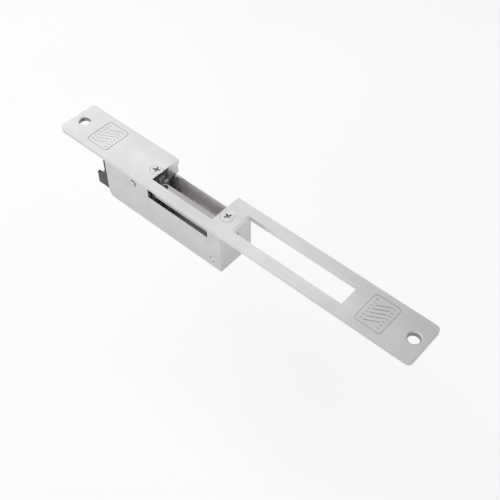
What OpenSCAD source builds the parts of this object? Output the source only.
// Electric door strike, flush mortise pattern: a long forend plate with a latch
// recess and a deadbolt cut-out, over a narrow cast case that holds the swinging
// keeper, the locking lever, the armature and the solenoid coil.
// Origin: centre of the two fixing holes on the forend's underside.
// X runs along the plate, +Y is the open side of the latch recess, +Z leaves the
// plate's visible face. Left is -X, front is -Y and back is +Y.
// Name endings: _l length, _w width, _t thickness, _d diameter or depth, _r radius,
// _x0 and _x1 the two ends along X (Y and Z alike), _at the place of an axis.

/* [Forend plate] */
// Length of the forend plate
plate_l = 232; // [220:1:260]
// Width of the forend plate
plate_w = 25; // [24:0.5:26]
// Thickness of the forend plate
plate_t = 3; // [2.5:0.25:3.5]
// Corner radius of the plate outline
plate_r = 2.5; // [1:0.5:4]
// Distance between the two fixing holes
fix_pitch = 219; // [210:1:240]
// Diameter of the fixing holes
fix_d = 6; // [5:0.1:6.4]
// Diameter of the fixing hole countersink
fix_csk_d = 7.4; // [7:0.1:9]
// Left end of the latch recess
recess_x0 = -48.8; // [-49.2:0.1:-48.4]
// Right end of the latch recess
recess_x1 = -6.4; // [-7:0.1:-6.2]
// Front edge of the latch recess
recess_y = -7.4; // [-8:0.1:-6]
// Left end of the deadbolt cut-out
bolt_x0 = 5.7; // [5:0.1:12]
// Length of the deadbolt cut-out
bolt_l = 68; // [50:1:72]
// Width of the deadbolt cut-out
bolt_w = 13; // [11:0.5:15]
// Depth of the stamped pattern
stamp_d = 0.2; // [0.1:0.05:0.4]

/* [Case] */
// Left end of the case
case_x0 = -81.5; // [-82:0.5:-81]
// Right end of the case
case_x1 = 2.7; // [2:0.1:4]
// Width of the case across the plate
case_w = 23.2; // [23:0.1:24]
// Depth of the case below the plate
case_d = 27.6; // [27.4:0.1:30]
// Wall thickness of the casting
wall = 2; // [1.8:0.1:2.2]
// Chamfer on the case's lower left edge
case_cham = 2.1; // [1:0.1:2.6]

/* [Keeper] */
// Height of the keeper pin axis
keeper_z = -20.2; // [-20.4:0.1:-20]
// Distance of the keeper pin axis from the plate centre
keeper_y = 8; // [7.9:0.1:8]
// Diameter of the keeper pin
keeper_pin_d = 3; // [2.6:0.1:3]
// Top edge of the keeper's jaw
jaw_top = -8; // [-9:0.1:-7.5]
// Thickness of the keeper's jaw
jaw_t = 2; // [1.6:0.1:2]

/* [Release train] */
// Diameter of the locking lever pin
lever_pin_d = 2; // [1.6:0.1:2]
// Thickness of the locking lever
lever_t = 3; // [2.4:0.1:3]
// Thickness of the armature plate
arm_t = 1.4; // [1.2:0.1:1.4]
// Outer diameter of the coil winding
coil_d = 14; // [12:0.5:14.5]

/* [Hidden] */
$fn = 48;
eps = 0.01;      // small overlap
pin_fit = 0.01;  // radial clearance of pins and rivets in the casting

// case
half_w = case_w / 2;
floor_z = -case_d + wall;
partition_x0 = -54;         // partition between coil and keeper
partition_x1 = -50.6;
pocket_x1 = -6.2;           // right end of the keeper pocket
bridge_z = -5.5;            // underside of the bridges
cover_y = half_w - 1.2;     // inner face of the back cover

// body screws: X, length, turn of the cross recess, bottom of the hole in the case
screws = [[-52.2, 8.3, 24, -6], [-1.9, 13.5, 62, -11.2]];
screw_y = -0.8;
screw_shank_r = 2;

// cover rivets: X, Z, radius, front end of the rivet, front end of its hole
rivets = [[-60, -4.2, 1, -half_w, -half_w - 1], [-77, -3.2, 1, 2.2, 2],
    [-52.3, -24.3, 0.9, 6.2, 6]];

// latch guide
guide_z0 = -3.4;
guide_z1 = -1.9;
guide_y1 = -1.5;            // back edge
guide_screw_at = [-43.3, -4.1];  // X, Y

// keeper
keeper_x0 = -46.5;
keeper_x1 = -6.6;
barrel_r = 3.2;
stop_at = [9.1, -7.2];      // stop pin, Y and Z
stop_r = 1.15;
lock_at = [-3, -21.8];      // lock pin, X and Z

// release train
lever_at = [-52.3, -9.5];   // lever pin, X and Z
lever_y = 4;                // lever mid-plane
arm_at = [-57.9, -22.6];    // armature pin, X and Z
arm_pin_r = 0.8;
coil_z = -14.5;             // coil axis
yoke_x0 = -79.2;            // left face of the yoke's upright
yoke_x1 = -77.6;            // right face of the yoke's upright

// terminals
shelf_z = -20;
term_x = -88;
term_y = 4.8;               // offset to each side
lead_y = 8.2;               // lead passage, offset to each side

// ---- helpers ----
module box(x0, x1, y0, y1, z0, z1) {
    translate([x0, y0, z0]) cube([x1 - x0, y1 - y0, z1 - z0]);
}
// cylinders along X, Y and Z
module rod_x(x0, x1, y, z, r) {
    translate([x0, y, z]) rotate([0, 90, 0]) cylinder(r = r, h = x1 - x0);
}
module rod_y(x, y0, y1, z, r) {
    translate([x, y0, z]) rotate([-90, 0, 0]) cylinder(r = r, h = y1 - y0);
}
module rod_z(x, y, z0, z1, r) {
    translate([x, y, z0]) cylinder(r = r, h = z1 - z0);
}
// profile drawn in X and Z, extruded along Y
module extrude_y(y0, y1) {
    translate([0, y1, 0]) rotate([90, 0, 0]) linear_extrude(y1 - y0) children();
}
// profile drawn in Y and Z, extruded along X
module extrude_x(x0, x1) {
    translate([x0, 0, 0]) rotate([90, 0, 90]) linear_extrude(x1 - x0) children();
}
module rounded_rect(length, width, radius) {
    square([length - 2 * radius, width], center = true);
    square([length, width - 2 * radius], center = true);
    for (i = [-1, 1], j = [-1, 1])
        translate([i * (length / 2 - radius), j * (width / 2 - radius)]) circle(radius);
}
// two slots or blades crossing at right angles on the Z axis
module cross(length, width, z, height) {
    for (a = [0, 90]) rotate(a)
        translate([-length / 2, -width / 2, z]) cube([length, width, height]);
}
function unit(v) = v / norm(v);
// round wire along a list of points; ref is a direction no part of the path is parallel to
module wire(path, radius, ref, sides = 8) {
    last = len(path) - 1;
    tangents = [for (i = [0 : last]) unit(path[min(i + 1, last)] - path[max(i - 1, 0)])];
    points = [for (i = [0 : last])
        let (u = unit(cross(ref, tangents[i])), v = cross(tangents[i], u))
        for (k = [0 : sides - 1])
            path[i] + radius * (cos(360 * k / sides) * u + sin(360 * k / sides) * v)];
    faces = concat(
        [for (i = [0 : last - 1], k = [0 : sides - 1]) let (next = (k + 1) % sides)
            [i * sides + k, i * sides + next, (i + 1) * sides + next, (i + 1) * sides + k]],
        [[for (k = [sides - 1 : -1 : 0]) k]],
        [[for (k = [0 : sides - 1]) last * sides + k]]);
    polyhedron(points, faces, convexity = 8);
}
// helix points about X (center in Y and Z) and about Y (center in X and Z)
coil_steps = 16;  // points per turn
function coil_about_x(center, radius, x0, x1, turns, start) =
    [for (i = [0 : turns * coil_steps])
        let (a = start + 360 * i / coil_steps)
        [x0 + (x1 - x0) * i / (turns * coil_steps),
            center[0] + radius * cos(a), center[1] + radius * sin(a)]];
function coil_about_y(center, radius, y0, y1, turns, start) =
    [for (p = coil_about_x(center, radius, y0, y1, turns, start)) [p[1], p[0], p[2]]];
// path with each corner rounded by a short curve that starts d before it
function bend(path, d) = [path[0],
    for (i = [1 : len(path) - 2])
        let (a = path[i] - d * unit(path[i] - path[i - 1]),
            b = path[i] + d * unit(path[i + 1] - path[i]))
        for (t = [0 : 0.25 : 1])
            (1 - t) * (1 - t) * a + 2 * t * (1 - t) * path[i] + t * t * b,
    path[len(path) - 1]];

// ---- plate ----
// stamped panel: a rounded frame, slanted bars and two columns of dashes
module stamp(x, width, height) {
    line = 0.5;  // frame line width
    translate([x, 0, plate_t - stamp_d]) linear_extrude(stamp_d + 1) {
        difference() {
            rounded_rect(width, height, 2);
            rounded_rect(width - 2 * line, height - 2 * line, 2 - line);
        }
        for (i = [-2 : 2]) translate([0, i * 2.6]) rotate(28)
            square([width * 0.52, 0.6], center = true);
        for (s = [-1, 1], i = [-3 : 3]) translate([s * (width / 2 - 2.6), i * height / 8.5])
            square([1.6, 0.55], center = true);
    }
}
module faceplate() color("gainsboro") difference() {
    fix_sink = (fix_csk_d - fix_d) / 2;
    screw_hole_r = 2.2;
    screw_sink = 1.6;
    linear_extrude(plate_t) rounded_rect(plate_l, plate_w, plate_r);
    for (s = [-1, 1]) translate([s * fix_pitch / 2, 0, 0]) {
        translate([0, 0, -1]) cylinder(d = fix_d, h = plate_t + 2);
        translate([0, 0, plate_t - fix_sink])
            cylinder(d1 = fix_d, d2 = fix_csk_d + 2, h = fix_sink + 1);
    }
    for (screw = screws) translate([screw[0], screw_y, 0]) {
        translate([0, 0, -1]) cylinder(r = screw_hole_r, h = plate_t + 2);
        translate([0, 0, plate_t - screw_sink])
            cylinder(r1 = screw_hole_r, r2 = screw_hole_r + screw_sink + 1, h = screw_sink + 1);
    }
    box(recess_x0, recess_x1, recess_y, plate_w, -1, plate_t + 1);
    box(bolt_x0, bolt_x0 + bolt_l, -bolt_w / 2, bolt_w / 2, -1, plate_t + 1);
    stamp(x = -90.4, width = 15.5, height = 18);
    stamp(x = 89.7, width = 15, height = 18.4);
}

// ---- case ----
module coil_compartment() difference() {
    inner_x0 = case_x0 + wall;
    box(inner_x0, partition_x0, -half_w + wall, half_w + 1, floor_z, -wall);
    // bridge under the left body screw
    box(-56, partition_x0 + 1, -half_w, cover_y, bridge_z, 0);
    // boss for the upper left cover rivet
    rod_y(rivets[1][0], -half_w, cover_y, rivets[1][1], 2.4);
    // sloped floor corner, which keeps the wall behind the outer chamfer
    extrude_y(-half_w, cover_y) polygon([[case_x0, floor_z + 1.6], [inner_x0, floor_z + 1.6],
        [inner_x0 + 0.9, floor_z], [inner_x0, floor_z - 1], [case_x0, floor_z - 1]]);
}
module hollow_case() difference() {
    // outer form with the lower left edge taken off
    extrude_y(-half_w, half_w) polygon([[case_x0, 0], [case_x0, -case_d + case_cham],
        [case_x0 + case_cham, -case_d], [case_x1, -case_d], [case_x1, 0]]);
    // open at the back
    coil_compartment();
    // keeper pocket, open at the top and at the back
    box(partition_x1, pocket_x1, -half_w + wall, half_w + 1, floor_z, 1);
    // window in the front wall
    extrude_x(recess_x0, pocket_x1) polygon([[-half_w - 1, 1], [-half_w - 1, -7.2],
        [-half_w + 0.25, -7.2], [-half_w + wall + 0.5, -11], [-half_w + wall + 0.5, 1]]);
    // opening in the left end for the terminal carrier
    box(case_x0 - 1, case_x0 + wall + 1, -9, 9, -23.4, -3);
}
module case() color("silver") difference() {
    union() {
        hollow_case();
        // bridge over the lever, reaching right past the partition
        box(partition_x0, recess_x0, -half_w + eps, 11.4, bridge_z, 0);
        // post and rib under the guide plate
        rod_z(guide_screw_at[0], guide_screw_at[1], floor_z - 1, guide_z0, 1.9);
        box(-47.4, -46.2, -half_w + wall - eps, -7.6, floor_z - 1, guide_z0);
        // low sill along the back of the keeper pocket
        box(partition_x1 - 1, -5, half_w - 1.6, half_w - eps, -case_d + eps, -24.4);
    }
    // rebate for the back cover
    extrude_y(cover_y, half_w + 1) cover_outline(0.1);
    // lever slot and lightening window in the partition
    box(partition_x0 - 1, partition_x1 + 1, lever_y - lever_t / 2 - 0.2, 8.2, -22.6, bridge_z);
    box(partition_x0 - 1, partition_x1 + 1, -8.4, -0.8, -22, -7.4);
    // groove for the guide plate's right end
    box(-7, -4.4, -half_w + wall, guide_y1 + 0.2, guide_z0, 1);
    // hollow in the end of the bridge, which leaves a cheek at the back
    box(-50.9, recess_x0 + 1, -half_w + wall, 3.8, -5.6, 0.1);
    // holes for the keeper, lever, stop and lock pins
    rod_x(partition_x0 - 0.2, -0.8, keeper_y, keeper_z, keeper_pin_d / 2 + pin_fit);
    rod_y(lever_at[0], -0.4, cover_y - 0.4, lever_at[1], lever_pin_d / 2 + pin_fit);
    rod_x(partition_x0 - 1, recess_x0 + 1, stop_at[0], stop_at[1], stop_r + pin_fit);
    rod_y(lock_at[0], -half_w - 1, 10.2, lock_at[1], 1.25);
    // small blind hole in the right end
    rod_x(1.2, case_x1 + 1, 1.75, -8.8, 0.55);
    // crescent of the staked rivet end
    difference() {
        rod_y(-59.7, -half_w - 1, -half_w + 0.45, -4.1, 2.0);
        rod_y(-60.25, -half_w - 2, -half_w + 1, -4.7, 1.55);
    }
    // two stake marks beside the lock pin
    for (mark = [[-4.6, -20.9], [-2.5, -23.5]])
        rod_y(mark[0], -half_w - 1, -half_w + 0.5, mark[1], 0.48);
    for (rivet = rivets) rod_y(rivet[0], rivet[4], half_w + 1, rivet[1], rivet[2] + pin_fit);
    for (screw = screws) rod_z(screw[0], screw_y, screw[3], 1, screw_shank_r + 0.02);
    rod_z(guide_screw_at[0], guide_screw_at[1], -9.4, 0, 0.9);
}

// outline of the back cover in X and Z, grown by the clearance gap
module cover_outline(gap) {
    left = case_x0 + 1 - gap;
    right = -50.9 + gap;
    bottom = -case_d + 1 - gap;
    top = -0.9 + gap;
    polygon([[left, top], [left, -case_d + 0.6 + case_cham - gap],
        [case_x0 + 0.6 + case_cham - gap, bottom], [right, bottom], [right, top]]);
}
module back_cover() color("lightgray") difference() {
    extrude_y(cover_y, half_w) cover_outline(0);
    for (rivet = rivets)
        rod_y(rivet[0], cover_y - 1, half_w + 1, rivet[1], rivet[2] + pin_fit);
}
// three rivets with flush ends; the first runs right through the case
module cover_rivets() color("darkgray")
    for (rivet = rivets) rod_y(rivet[0], rivet[3], half_w, rivet[1], rivet[2]);

// countersunk screw with a cross recess; top is the head's upper face
module csk_screw(top, head_r, shank_r, length, turn) {
    rim = 0.1;
    cone = head_r - shank_r;
    slot_w = 0.95;
    slot_d = 1.7;
    difference() {
        union() {
            translate([0, 0, top - rim]) cylinder(r = head_r, h = rim);
            translate([0, 0, top - rim - cone]) cylinder(r1 = shank_r, r2 = head_r, h = cone);
            translate([0, 0, top - length]) cylinder(r = shank_r, h = length - 0.5);
        }
        rotate(turn) {
            cross(head_r * 1.2, slot_w, top - slot_d, slot_d + 1);
            translate([0, 0, top - slot_d])
                cylinder(r1 = slot_w * 0.7, r2 = slot_w * 1.1, h = slot_d + eps);
        }
    }
}
module body_screws() color("silver")
    for (screw = screws) translate([screw[0], screw_y, 0])
        csk_screw(top = plate_t - 0.05, head_r = 3.55, shank_r = screw_shank_r,
            length = screw[1], turn = screw[2]);

// ---- latch guide ----
module guide_plate() color("lightgray") difference() {
    corner_r = 2.9;
    translate([0, 0, guide_z0]) linear_extrude(guide_z1 - guide_z0) {
        translate([-46, -9.2]) square([41.4, 4]);
        translate([-46, -11.4]) square([39.6, 3]);
        translate([-43.1, -5.5]) square([38.5, 5.5 + guide_y1]);
        translate([-43.1, guide_y1 - corner_r]) circle(corner_r);
    }
    // counterbored hole for its screw
    rod_z(guide_screw_at[0], guide_screw_at[1], guide_z0 - 1, guide_z1 + 1, 1.0);
    rod_z(guide_screw_at[0], guide_screw_at[1], guide_z1 - 1, guide_z1 + 1, 1.8);
    // relief for the casting's front left corner
    box(-47, -43.2, -12, -9.3, guide_z0 - 1, guide_z1 + 1);
}
module guide_screw() color("dimgray")
    translate([guide_screw_at[0], guide_screw_at[1], guide_z1 - 1]) difference() {
        union() {
            cylinder(r = 1.65, h = 0.45);
            translate([0, 0, -6.5]) cylinder(r = 0.88, h = 6.6);
        }
        rotate(30) cross(2.2, 0.44, 0.1, 2);
    }

// ---- keeper ----
tail_z0 = -21.7;
tail_z1 = -18.7;
web_z = -17.6;                      // top of the web between jaw and barrel
jaw_in_y = half_w - jaw_t - 0.4;    // inner face at the jaw's foot
// Y, Z: the thin top edge thickens down the inner face
jaw_outline = [[half_w, keeper_z], [half_w, jaw_top - 0.3], [half_w - 0.3, jaw_top],
    [half_w - 0.6, jaw_top], [half_w - 1.05, jaw_top - 0.9], [half_w - 1.45, jaw_top - 2.2],
    [half_w - 1.8, jaw_top - 4], [half_w - jaw_t - 0.1, jaw_top - 6], [jaw_in_y, jaw_top - 8],
    [jaw_in_y, web_z], [half_w - 1, web_z], [half_w - 1, keeper_z]];
// Y, Z
stop_land_outline = [[half_w - 0.6, -22.2], [half_w, -21.4], [half_w, jaw_top - 0.3],
    [half_w - 0.3, jaw_top], [stop_at[0] + 0.86, jaw_top], [stop_at[0] + 0.3, jaw_top - 2.5],
    [stop_at[0] + 0.1, -17], [stop_at[0] + 0.3, -22.2]];

module keeper() color("darkgray") difference() {
    union() {
        extrude_x(keeper_x0, keeper_x1) polygon(jaw_outline);
        box(keeper_x0 + 1.3, keeper_x1, keeper_y, half_w - 1, keeper_z, web_z);
        rod_x(keeper_x0 + 1.3, keeper_x1, keeper_y, keeper_z, barrel_r);
        // stop land at the left end, which rests against the stop pin
        extrude_x(keeper_x0 - 3.9, keeper_x0 + eps) polygon(stop_land_outline);
        // locking tail with a slanted left end
        difference() {
            box(keeper_x0, -41, 1.5, keeper_y, tail_z0, tail_z1);
            extrude_y(0, 7) polygon([[keeper_x0 - 1, tail_z1 + 1], [keeper_x0 + 1.25, tail_z1 + 1],
                [keeper_x0, -21.27], [keeper_x0 - 1, -21.27]]);
        }
    }
    rod_x(keeper_x0 - 5, keeper_x1 + 1, keeper_y, keeper_z, keeper_pin_d / 2 + 0.05);
    // gap for the return spring
    box(-14, -8, 0, half_w - 0.7, -30, -16.9);
}
module keeper_pin() color("silver") difference() {
    rod_x(partition_x0 - 1.4, -0.9, keeper_y, keeper_z, keeper_pin_d / 2);
    // cross hole for the lock pin
    rod_y(lock_at[0], 0, 20, lock_at[1], 1.27);
    // groove for a snap ring
    difference() {
        rod_x(-55, -54.5, keeper_y, keeper_z, 3);
        rod_x(-55.1, -54.4, keeper_y, keeper_z, 1.15);
    }
}
module keeper_lock_pin() color("silver") rod_y(lock_at[0], -half_w, 10, lock_at[1], 1.24);
// pin with a two-step tapered right end
module keeper_stop_pin() color("silver") {
    taper_x = -48.5;
    taper_l = 0.3;
    rod_x(-52.5, taper_x, stop_at[0], stop_at[1], stop_r);
    translate([taper_x, stop_at[0], stop_at[1]]) rotate([0, 90, 0]) {
        cylinder(r1 = stop_r, r2 = 0.95, h = taper_l);
        translate([0, 0, taper_l]) cylinder(r1 = 0.95, r2 = 0.45, h = taper_l);
    }
}
// torsion spring on the keeper pin: one leg on the case floor, one up the jaw
module keeper_spring() color("gray") wire(concat(
    [[-13.2, -1.5, -25.1], [-13.2, 4.6, -24.9], [-13.2, 6.2, -23.6]],
    coil_about_x([keeper_y, keeper_z], radius = 2.3, x0 = -13.2, x1 = -9,
        turns = 4.25, start = -95),
    [[-9, 9.9, -18.9], [-9, 8.78, -17.2], [-9, 8.74, -15.8], [-9, 9.2, -12.4]]),
    radius = 0.4, ref = [1, 0, 0]);

// ---- release train ----
// X, Z: short arm held down by the armature, long arm down to the nose
lever_outline = [[-52.6, -7.2], [-55.7, -7.3], [-56.9, -8.5], [-56.9, -9.3], [-54.6, -10.6],
    [-53.4, -16], [-51.8, -21.6], [-46.72, -21.45], [-45.55, -18.1], [-45.55, -17.6],
    [-49.9, -16.9], [-50.2, -9.8], [-50.4, -8.4], [-51.3, -7.4]];
module locking_lever() color("slategray") difference() {
    extrude_y(lever_y - lever_t / 2, lever_y + lever_t / 2) polygon(lever_outline);
    rod_y(lever_at[0], 0, 8, lever_at[1], lever_pin_d / 2 + 0.05);
}
module lever_pin() color("silver")
    rod_y(lever_at[0], -0.3, cover_y - 0.5, lever_at[1], lever_pin_d / 2);
// torsion spring on the lever pin, pressing the nose over the keeper's tail
module lever_spring() color("gray") wire(concat(
    [[-51.25, 7.9, -16.4], [-50.8, 7.8, -11.2]],
    coil_about_y(lever_at, radius = 1.5, y0 = 7.7, y1 = 6.1, turns = 3, start = -20),
    [[-51.1, 6.0, -8.0], [-53.6, 6.0, -6.2]]),
    radius = 0.25, ref = [0, 1, 0]);

arm_x0 = arm_at[0] - arm_t / 2;
arm_x1 = arm_at[0] + arm_t / 2;
arm_y1 = 6.2;    // back edge
arm_top = -6.2;
module armature() color("slategray") difference() {
    union() {
        box(arm_x0, arm_x1, -5.6, arm_y1, arm_at[1], arm_top);
        rod_y(arm_at[0], -6.3, 2.4, arm_at[1], 1.9);
        // tab over the lever's short arm
        extrude_y(2, arm_y1) polygon([[arm_at[0], arm_top], [-55.9, arm_top], [-55.9, -6.5],
            [-56.7, -7.3], [arm_at[0], -7.3]]);
    }
    rod_y(arm_at[0], -8, 8, arm_at[1], arm_pin_r + 0.05);
    // the plate is cut back beside the barrel, where the spring sits
    box(-62, -55, 2.4, 8, -26, -19.4);
    // hole for the residual stud
    rod_x(-60, -55, 0, coil_z, 0.8);
}
// brass stud that keeps the attracted armature off the pole face
module armature_stud() color("goldenrod") {
    rod_x(arm_x0 - 0.25, arm_x0, 0, coil_z, 1.3);
    rod_x(arm_x0, arm_x1 + 0.2, 0, coil_z, 0.79);
}
module armature_pin() color("silver") rod_y(arm_at[0], -8.2, 8.2, arm_at[1], arm_pin_r);
// torsion spring on the armature pin, pressing the armature off the pole
module armature_spring() color("gray") wire(concat(
    [[-62.6, 3.1, -23.75], [-59.3, 3.1, -23.7]],
    coil_about_y(arm_at, radius = 1.25, y0 = 3.1, y1 = 5.9, turns = 3.8125, start = 250),
    [[-59.12, 5.9, -21.6], [-59.0, 5.9, -19.6], [-58.86, 5.9, -16.6]]),
    radius = 0.22, ref = [0, 1, 0]);

module yoke() color("gray") difference() {
    base_t = 1.6;
    ear_y = 7.4;      // mid-plane of each ear
    ear_half_t = 0.8;
    union() {
        // upright at the coil's left end, and base
        box(yoke_x0, yoke_x1, -7, 7, floor_z + 0.1, -6.6);
        box(-78.2, -60.6, -ear_y, ear_y, floor_z, floor_z + base_t);
        // crossbar and two ears for the armature pin
        box(-61, -60, -8, 8, floor_z, floor_z + base_t);
        for (y = [-ear_y, ear_y]) {
            box(-61, -55.6, y - ear_half_t, y + ear_half_t, floor_z, -22);
            extrude_y(y - ear_half_t, y + ear_half_t) translate(arm_at) circle(2.1);
        }
    }
    rod_y(arm_at[0], -9, 9, arm_at[1], arm_pin_r + 0.02);
    // hole for the core's spigot, and a step under the upright
    rod_x(-80, -77, 0, coil_z, 2);
    box(-80, -77.9, -8, 8, floor_z - 1, floor_z + 1.3);
}
// spigot in the yoke, then the core up to the pole face
module coil_core() color("dimgray") {
    rod_x(yoke_x0, yoke_x1, 0, coil_z, 1.99);
    rod_x(yoke_x1, -60.1, 0, coil_z, 3);
}
module bobbin() color("ivory") difference() {
    flange_r = 7.6;
    union() {
        rod_x(-77.4, -76.2, 0, coil_z, flange_r);
        rod_x(-62, -60.9, 0, coil_z, flange_r);
        rod_x(-77.4, -60.9, 0, coil_z, 4.1);
    }
    rod_x(-78, -60, 0, coil_z, 3.05);
}
// winding with a zigzag surface
module winding() color("peru") {
    length = 14;
    bore_r = 4.15;
    ridges = 27;
    translate([-76.1, 0, coil_z]) rotate([0, 90, 0]) rotate_extrude()
        polygon(concat([[bore_r, 0]],
            [for (i = [0 : ridges]) [coil_d / 2 - (i % 2) * 0.15, i * length / ridges]],
            [[bore_r, length]]));
}

// ---- terminals ----
carrier_x0 = -91;
carrier_half_w = 10.6;
carrier_z0 = -24.3;
// X, Z
barrier_outline = [[carrier_x0, shelf_z - 1], [carrier_x0, -16.1], [-90.5, -15.9],
    [-87.9, -15.6], [-86.6, -15.1], [-85.6, -14.2], [-84.8, -13], [-84.3, -11.4],
    [-84, -11.4], [-84, shelf_z - 1]];
module terminal_carrier() color([0.13, 0.13, 0.14]) difference() {
    union() {
        // shelf, upright and the plug that enters the case
        box(carrier_x0, -83.4, -carrier_half_w, carrier_half_w, carrier_z0, shelf_z);
        box(-84.3, case_x0, -carrier_half_w, carrier_half_w, carrier_z0, -2);
        box(case_x0 - 1, case_x0 + wall - 0.1, -8.9, 8.9, -23.3, -3.1);
        // barriers, as front and back faces
        for (y = [[-carrier_half_w, -9.2], [-0.8, 0.8], [9.2, carrier_half_w]])
            extrude_y(y[0], y[1]) polygon(barrier_outline);
    }
    for (s = [-1, 1]) {
        // screw hole, lead passage and a lead slot in the plug
        rod_z(term_x, s * term_y, -23.6, shelf_z + 1, 1.3);
        rod_x(-86, -79, s * lead_y, coil_z, 0.55);
        box(case_x0 - 0.5, -79, s * 8.75 - 1.25, s * 8.75 + 1.25, -15.2, -13.8);
        // mouth for the field wire
        rod_x(-92, -90.4, s * term_y, shelf_z + 1.2, 1.3);
    }
}
module terminal_plates() color("goldenrod") for (s = [-1, 1]) difference() {
    y = s * (term_y + 0.2);
    box(-90.6, -85.3, y - 3.4, y + 3.4, shelf_z, shelf_z + 0.8);
    rod_z(term_x, s * term_y, shelf_z - 1, shelf_z + 2, 1.3);
}
module terminal_washers() color("silver") for (y = [-term_y, term_y]) difference() {
    box(term_x - 2.5, term_x + 2.4, y - 2.6, y + 2.6, shelf_z + 1.7, shelf_z + 2.3);
    rod_z(term_x, y, shelf_z, shelf_z + 4, 1.4);
}
module terminal_screws() color("silver") for (s = [-1, 1])
    translate([term_x, s * term_y, shelf_z]) difference() {
        head_r = 2.4;
        union() {
            translate([0, 0, -3.4]) cylinder(r = 1.28, h = 6);
            translate([0, 0, 2.3]) cylinder(r = head_r, h = 1.1);
            translate([0, 0, 3.4]) cylinder(r1 = head_r, r2 = 1.7, h = 0.5);
        }
        rotate(20 + 25 * s) translate([-3, -0.3, 2.9]) cube([6, 0.6, 2]);
    }
// from the winding out through the carrier and down to the terminals
module coil_leads() color("firebrick") for (s = [-1, 1])
    wire(bend([[-74.5, s * (coil_d / 2 + 0.03), coil_z], [-74.5, s * lead_y, coil_z],
        [-85.9, s * lead_y, coil_z], [-85.9, s * lead_y, shelf_z + 1.25],
        [-86.3, s * (term_y - 1), shelf_z + 1.25]], 0.6),
        radius = 0.42, ref = [0.31, 0.52, 0.8], sides = 12);

faceplate();
case();
back_cover();
cover_rivets();
body_screws();
guide_plate();
guide_screw();
keeper();
keeper_pin();
keeper_lock_pin();
keeper_stop_pin();
keeper_spring();
locking_lever();
lever_pin();
lever_spring();
armature();
armature_stud();
armature_pin();
armature_spring();
yoke();
coil_core();
bobbin();
winding();
terminal_carrier();
terminal_plates();
terminal_washers();
terminal_screws();
coil_leads();
